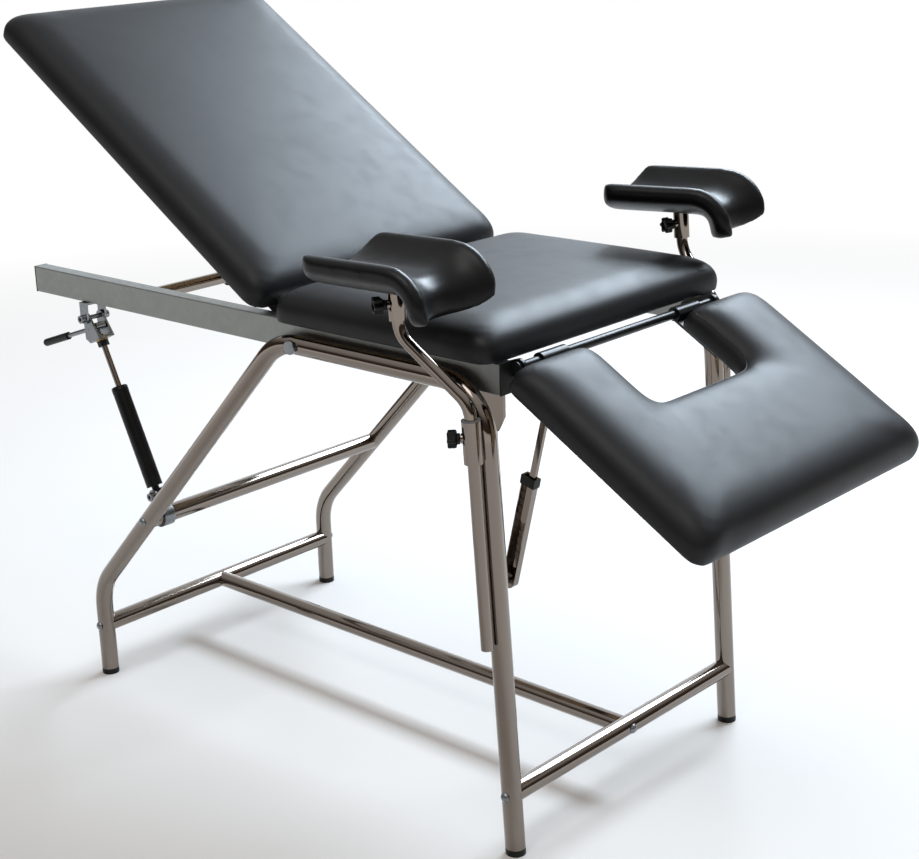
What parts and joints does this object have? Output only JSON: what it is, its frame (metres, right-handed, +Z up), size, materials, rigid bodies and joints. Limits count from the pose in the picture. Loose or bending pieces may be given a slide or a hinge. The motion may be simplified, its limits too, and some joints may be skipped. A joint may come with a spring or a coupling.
{
  "type": "examination table",
  "caption": "Gynaecological examination table with chrome tube frame, black padded backrest, seat and leg section with cut-out, gas-spring tilt and padded leg crutches",
  "frame": {"origin": "on the floor under the middle of the table", "axes": "+X to the foot end, where the leg section is; +Z up; the head end is at -X and the side with the gas spring is at -Y"},
  "size_m": [1.444, 0.8541, 1.164],
  "materials": {
    "chrome_tube": "bright chrome plate",
    "rail_steel": "satin drawn steel",
    "zinc_steel": "bright zinc plate",
    "black_steel": "black satin paint",
    "brass_washer": "yellow passivated",
    "black_plastic": "moulded, satin",
    "nylon": "natural nylon",
    "plywood": "sanded board",
    "black_vinyl": "smooth coated upholstery cloth with a soft sheen",
    "moulded_foam": "fine-grained self-skinning foam"
  },
  "bodies": {
    "base": {"left_side_tube": "chrome_tube", "right_side_tube": "chrome_tube", "front_crossbar": "chrome_tube", "rear_crossbar": "chrome_tube", "middle_crossbar": "chrome_tube", "centre_stretcher": "chrome_tube", "foot_caps": "black_plastic", "frame_bolts": "zinc_steel", "tilt_pins": "zinc_steel", "gas_lower_bracket": "zinc_steel", "gas_lower_bolt": "zinc_steel", "left_crutch_socket": "chrome_tube", "right_crutch_socket": "chrome_tube"},
    "top_frame": {"left_rail": "rail_steel", "right_rail": "rail_steel", "rail_end_caps": "black_plastic", "rail_cross_tubes": "chrome_tube", "seat_board": "plywood", "seat_cushion": "black_vinyl", "back_hinge_brackets": "black_steel", "back_prop_racks": "black_steel", "leg_hinge_brackets": "black_steel", "leg_hinge_axle": "black_steel", "leg_strut_hanger": "chrome_tube", "gas_upper_clevis": "zinc_steel", "gas_upper_bolt": "zinc_steel"},
    "backrest": {"back_board": "plywood", "back_cushion": "black_vinyl", "back_hinge_arms": "black_steel", "back_prop_bracket": "zinc_steel", "back_prop_pin": "zinc_steel"},
    "back_prop": {"back_prop_arms": "black_steel", "back_prop_foot_bar": "chrome_tube"},
    "leg_section": {"leg_board": "plywood", "leg_cushion": "black_vinyl", "leg_hinge_leaves": "black_steel", "leg_strut_lugs": "zinc_steel"},
    "leg_channel": {"leg_strut_channel": "chrome_tube", "leg_strut_collar": "black_plastic"},
    "leg_bar": {"leg_strut_bar": "chrome_tube"},
    "gas_barrel": {"gas_cylinder": "black_steel"},
    "gas_plunger": {"gas_rod": "chrome_tube", "rod_lock_nut": "black_steel", "rod_washer": "brass_washer", "release_head": "zinc_steel"},
    "lever": {"release_lever": "zinc_steel", "lever_grip": "black_plastic"},
    "valve": {"gas_valve_pin": "zinc_steel"},
    "left_swivel": {"left_crutch_liner": "nylon"},
    "left_crutch": {"left_crutch_rod": "chrome_tube"},
    "left_pad": {"left_pad_sleeve": "chrome_tube", "left_crutch_pad": "moulded_foam"},
    "left_low_knob": {"left_crutch_knob": "black_plastic"},
    "left_top_knob": {"left_pad_knob": "black_plastic"},
    "right_swivel": {"right_crutch_liner": "nylon"},
    "right_crutch": {"right_crutch_rod": "chrome_tube"},
    "right_pad": {"right_pad_sleeve": "chrome_tube", "right_crutch_pad": "moulded_foam"},
    "right_low_knob": {"right_crutch_knob": "black_plastic"},
    "right_top_knob": {"right_pad_knob": "black_plastic"}
  },
  "joints": [
    {"name": "top_tilt", "type": "hinge", "parent": "base", "child": "top_frame", "pos_m": [-0.014, 0, 0.7], "axis": [0, -1, 0], "range_deg": [0, 4]},
    {"name": "gas_barrel_swing", "type": "hinge", "parent": "base", "child": "gas_barrel", "pos_m": [-0.427, -0.24, 0.363], "axis": [0, 1, 0], "range_deg": [-2.75, 0.3]},
    {"name": "gas_plunger_swing", "type": "hinge", "parent": "top_frame", "child": "gas_plunger", "pos_m": [-0.565, -0.24, 0.657], "axis": [0, 1, 0], "range_deg": [-0.3, 1.84]},
    {"name": "release_lever_lift", "type": "hinge", "parent": "gas_plunger", "child": "lever", "pos_m": [-0.56369, -0.24, 0.63773], "axis": [0, 1, 0], "range_deg": [0, 10], "stiffness_Nm_per_rad": 1.5, "springref_deg": -11.46},
    {"name": "valve_press", "type": "slide", "parent": "gas_plunger", "child": "valve", "axis": [0.4249, 0, -0.9052], "range_m": [-0.0002, 0.002]},
    {"name": "backrest_lift", "type": "hinge", "parent": "top_frame", "child": "backrest", "pos_m": [-0.088, 0, 0.739], "axis": [0, 1, 0], "range_deg": [-33.1, 31.9]},
    {"name": "back_prop_swing", "type": "hinge", "parent": "backrest", "child": "back_prop", "pos_m": [-0.24971, 0, 0.82054], "axis": [0, 1, 0], "range_deg": [-59.07, 61.27]},
    {"name": "leg_section_drop", "type": "hinge", "parent": "top_frame", "child": "leg_section", "pos_m": [0.381, 0, 0.722], "axis": [0, 1, 0], "range_deg": [-30.5, 34.5]},
    {"name": "leg_channel_swing", "type": "hinge", "parent": "top_frame", "child": "leg_channel", "pos_m": [0.337, -0.205, 0.392], "axis": [0, 1, 0], "range_deg": [-3.72, 3.32]},
    {"name": "leg_bar_swing", "type": "hinge", "parent": "leg_section", "child": "leg_bar", "pos_m": [0.41545, -0.205, 0.68197], "axis": [0, 1, 0], "range_deg": [-38.42, 34.02]},
    {"name": "left_crutch_swivel", "type": "hinge", "parent": "base", "child": "left_swivel", "pos_m": [0.35706, -0.3, 0.62897], "axis": [-0.0571, 0, 0.9984], "range_deg": [0, 35]},
    {"name": "left_crutch_height", "type": "slide", "parent": "left_swivel", "child": "left_crutch", "axis": [-0.0571, 0, 0.9984], "range_m": [0, 0.15]},
    {"name": "left_pad_turn", "type": "hinge", "parent": "left_crutch", "child": "left_pad", "pos_m": [0.25265, -0.32865, 0.81332], "axis": [0.0571, 0, -0.9984], "range_deg": [0, 36]},
    {"name": "left_crutch_knob_turn", "type": "hinge", "parent": "base", "child": "left_low_knob", "pos_m": [0.34077, -0.31204, 0.63405], "axis": [-0.7973, -0.6018, -0.0456], "continuous": true},
    {"name": "left_pad_knob_turn", "type": "hinge", "parent": "left_pad", "child": "left_top_knob", "pos_m": [0.24237, -0.3458, 0.81273], "axis": [-0.5142, -0.8572, -0.0294], "continuous": true},
    {"name": "right_crutch_swivel", "type": "hinge", "parent": "base", "child": "right_swivel", "pos_m": [0.35706, 0.3, 0.62897], "axis": [0.0571, 0, -0.9984], "range_deg": [0, 35]},
    {"name": "right_crutch_height", "type": "slide", "parent": "right_swivel", "child": "right_crutch", "axis": [-0.0571, 0, 0.9984], "range_m": [0, 0.15]},
    {"name": "right_pad_turn", "type": "hinge", "parent": "right_crutch", "child": "right_pad", "pos_m": [0.25265, 0.32865, 0.81332], "axis": [-0.0571, 0, 0.9984], "range_deg": [-10, 26]},
    {"name": "right_crutch_knob_turn", "type": "hinge", "parent": "base", "child": "right_low_knob", "pos_m": [0.34077, 0.31204, 0.63405], "axis": [-0.7973, 0.6018, -0.0456], "continuous": true},
    {"name": "right_pad_knob_turn", "type": "hinge", "parent": "right_pad", "child": "right_top_knob", "pos_m": [0.2455, 0.30998, 0.81291], "axis": [-0.3578, -0.9336, -0.0204], "continuous": true}
  ],
  "couplings": [
    {"joint": "gas_barrel_swing", "follows": "top_tilt", "ratio": -0.61371},
    {"joint": "gas_plunger_swing", "follows": "top_tilt", "ratio": 0.38629},
    {"joint": "valve_press", "follows": "release_lever_lift", "m_per_rad": 0.0095},
    {"joint": "back_prop_swing", "follows": "backrest_lift", "ratio": -1.836},
    {"joint": "leg_channel_swing", "follows": "leg_section_drop", "ratio": -0.099},
    {"joint": "leg_bar_swing", "follows": "leg_section_drop", "ratio": -1.099}
  ]
}
